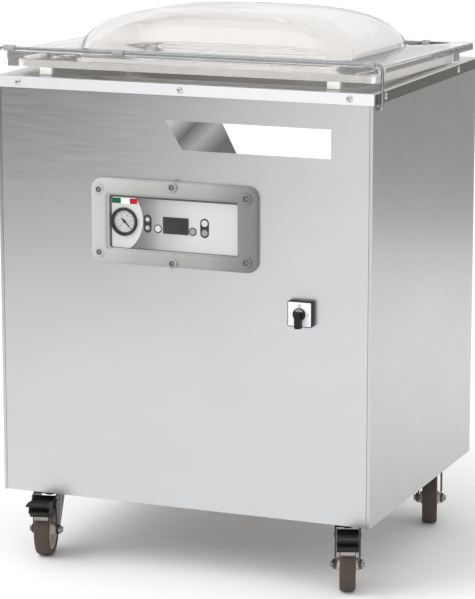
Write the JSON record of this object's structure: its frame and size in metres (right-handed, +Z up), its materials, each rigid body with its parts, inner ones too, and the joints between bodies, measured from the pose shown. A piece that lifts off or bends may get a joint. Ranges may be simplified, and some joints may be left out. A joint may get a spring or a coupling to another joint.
{
  "type": "vacuum chamber sealer",
  "caption": "Floor-standing vacuum chamber sealer: clear domed lid on rear hinges, swing-over hold-down bar, control panel, main switch and braked castors.",
  "frame": {"origin": "on the floor under the middle of the machine", "axes": "+X to the right as seen from the front, +Y to the back, +Z up; the control panel faces -Y"},
  "size_m": [0.768, 0.6991, 1.0465],
  "materials": {
    "sheet_steel": "fine brushed stainless sheet",
    "tub_steel": "deep drawn stainless",
    "rod_steel": "polished stainless rod",
    "zinc_steel": "zinc plated steel",
    "screw_steel": "plated screw",
    "clear_acrylic": "clear polished acrylic",
    "gasket_rubber": "soft grey silicone",
    "white_pad": "white moulded plastic",
    "white_board": "white polyethylene board",
    "bezel_plastic": "light grey moulded plastic",
    "overlay_print": "printed grey film on plastic",
    "display_dark": "dark window",
    "black_plastic": "black moulded plastic",
    "key_light": "light grey key",
    "key_grey": "mid grey key",
    "gauge_black": "black ring and light dial",
    "gauge_glass": "clear window",
    "needle_black": "black pointer",
    "board_green": "circuit board",
    "switch_face": "white face in a black frame",
    "label_metal": "blank white and brushed label",
    "clear_sleeve": "translucent ribbed sleeve",
    "bar_aluminium": "extruded aluminium",
    "tape_brown": "woven non-stick tape",
    "silicone_strip": "red-brown silicone",
    "pump_grey": "grey casting paint",
    "hose_black": "reinforced rubber hose",
    "transformer_iron": "varnished laminations",
    "tyre_rubber": "brown-grey rubber",
    "hub_plastic": "cream moulded plastic"
  },
  "bodies": {
    "cabinet": {"base_tray": "sheet_steel", "front_panel": "sheet_steel", "left_side_panel": "sheet_steel", "right_side_panel": "sheet_steel", "rear_panel": "sheet_steel", "top_deck": "sheet_steel", "chamber_tub": "tub_steel", "cabinet_screws": "screw_steel", "filler_plates": "white_board", "lift_cylinders": "bar_aluminium", "control_bezel": "bezel_plastic", "bezel_screws": "screw_steel", "control_overlay": "overlay_print", "display_module": "display_dark", "gauge_case": "gauge_black", "gauge_lens": "gauge_glass", "control_board": "board_green", "switch_frame": "switch_face", "name_plate": "label_metal", "hinge_brackets": "zinc_steel", "hinge_pins": "rod_steel", "vacuum_pump": "pump_grey", "pump_motor": "pump_grey", "oil_mist_filter": "pump_grey", "suction_hose": "hose_black", "seal_transformer": "transformer_iron", "cable_gland": "black_plastic", "caster_plates": "zinc_steel"},
    "lid": {"lid_shell": "clear_acrylic", "lid_gasket": "gasket_rubber", "lid_rest_pads": "white_pad", "counter_bar_rubber": "silicone_strip", "lid_hinge_leaves": "zinc_steel", "lid_hinge_bolts": "screw_steel"},
    "bail": {"hold_down_bail": "rod_steel", "bail_sleeves": "clear_sleeve"},
    "sealing_bar": {"seal_bar": "bar_aluminium", "seal_bar_tape": "tape_brown"},
    "needle": {"gauge_needle": "needle_black"},
    "knob": {"switch_knob": "black_plastic"},
    "key_plus": {"key_plus": "key_light"},
    "key_minus": {"key_minus": "key_light"},
    "key_program": {"key_program": "key_light"},
    "key_select": {"key_select": "key_grey"},
    "key_pump": {"key_pump": "key_light"},
    "key_stop": {"key_stop": "key_grey"},
    "fork_fl": {"fork_fl": "zinc_steel"},
    "wheel_fl": {"hub_fl": "hub_plastic", "tyre_fl": "tyre_rubber"},
    "pedal_fl": {"pedal_fl": "black_plastic"},
    "fork_fr": {"fork_fr": "zinc_steel"},
    "wheel_fr": {"hub_fr": "hub_plastic", "tyre_fr": "tyre_rubber"},
    "pedal_fr": {"pedal_fr": "black_plastic"},
    "fork_rl": {"fork_rl": "zinc_steel"},
    "wheel_rl": {"hub_rl": "hub_plastic", "tyre_rl": "tyre_rubber"},
    "fork_rr": {"fork_rr": "zinc_steel"},
    "wheel_rr": {"hub_rr": "hub_plastic", "tyre_rr": "tyre_rubber"}
  },
  "joints": [
    {"name": "lid_hinge", "type": "hinge", "parent": "cabinet", "child": "lid", "pos_m": [0, 0.29, 0.939], "axis": [-1, 0, 0], "range_deg": [0, 50]},
    {"name": "bail_pivot", "type": "hinge", "parent": "cabinet", "child": "bail", "pos_m": [0, -0.2853, 0.901], "axis": [1, 0, 0], "range_deg": [0, 150]},
    {"name": "seal_bar_lift", "type": "slide", "parent": "cabinet", "child": "sealing_bar", "axis": [0, 0, 1], "range_m": [0, 0.012]},
    {"name": "gauge_needle_turn", "type": "hinge", "parent": "cabinet", "child": "needle", "pos_m": [-0.1114, -0.31125, 0.6707], "axis": [0, -1, 0], "range_deg": [0, 270], "stiffness_Nm_per_rad": 0.0005},
    {"name": "main_switch_turn", "type": "hinge", "parent": "cabinet", "child": "knob", "pos_m": [0.239, -0.3194, 0.524], "axis": [0, 1, 0], "range_deg": [0, 90]},
    {"name": "key_plus_press", "type": "slide", "parent": "cabinet", "child": "key_plus", "axis": [0, 1, 0], "range_m": [0, 0.0005], "stiffness_N_per_m": 600},
    {"name": "key_minus_press", "type": "slide", "parent": "cabinet", "child": "key_minus", "axis": [0, 1, 0], "range_m": [0, 0.0005], "stiffness_N_per_m": 600},
    {"name": "key_program_press", "type": "slide", "parent": "cabinet", "child": "key_program", "axis": [0, 1, 0], "range_m": [0, 0.0005], "stiffness_N_per_m": 600},
    {"name": "key_select_press", "type": "slide", "parent": "cabinet", "child": "key_select", "axis": [0, 1, 0], "range_m": [0, 0.0005], "stiffness_N_per_m": 600},
    {"name": "key_pump_press", "type": "slide", "parent": "cabinet", "child": "key_pump", "axis": [0, 1, 0], "range_m": [0, 0.0005], "stiffness_N_per_m": 600},
    {"name": "key_stop_press", "type": "slide", "parent": "cabinet", "child": "key_stop", "axis": [0, 1, 0], "range_m": [0, 0.0005], "stiffness_N_per_m": 600},
    {"name": "swivel_fl", "type": "hinge", "parent": "cabinet", "child": "fork_fl", "pos_m": [-0.307, -0.24, 0.12], "axis": [0, 0, 1], "continuous": true},
    {"name": "wheel_fl_roll", "type": "hinge", "parent": "fork_fl", "child": "wheel_fl", "pos_m": [-0.29781, -0.27687, 0.05], "axis": [0.9703, 0.2419, 0], "continuous": true},
    {"name": "brake_fl", "type": "hinge", "parent": "fork_fl", "child": "pedal_fl", "pos_m": [-0.29539, -0.28657, 0.108], "axis": [0.9703, 0.2419, 0], "range_deg": [0, 5]},
    {"name": "swivel_fr", "type": "hinge", "parent": "cabinet", "child": "fork_fr", "pos_m": [0.307, -0.24, 0.12], "axis": [0, 0, 1], "continuous": true},
    {"name": "wheel_fr_roll", "type": "hinge", "parent": "fork_fr", "child": "wheel_fr", "pos_m": [0.32, -0.27571, 0.05], "axis": [0.9397, 0.342, 0], "continuous": true},
    {"name": "brake_fr", "type": "hinge", "parent": "fork_fr", "child": "pedal_fr", "pos_m": [0.32342, -0.2851, 0.108], "axis": [0.9397, 0.342, 0], "range_deg": [0, 5]},
    {"name": "swivel_rl", "type": "hinge", "parent": "cabinet", "child": "fork_rl", "pos_m": [-0.307, 0.25, 0.12], "axis": [0, 0, 1], "continuous": true},
    {"name": "wheel_rl_roll", "type": "hinge", "parent": "fork_rl", "child": "wheel_rl", "pos_m": [-0.29653, 0.21347, 0.05], "axis": [0.9613, 0.2756, 0], "continuous": true},
    {"name": "swivel_rr", "type": "hinge", "parent": "cabinet", "child": "fork_rr", "pos_m": [0.307, 0.25, 0.12], "axis": [0, 0, 1], "continuous": true},
    {"name": "wheel_rr_roll", "type": "hinge", "parent": "fork_rr", "child": "wheel_rr", "pos_m": [0.31874, 0.21386, 0.05], "axis": [0.9511, 0.309, 0], "continuous": true}
  ]
}
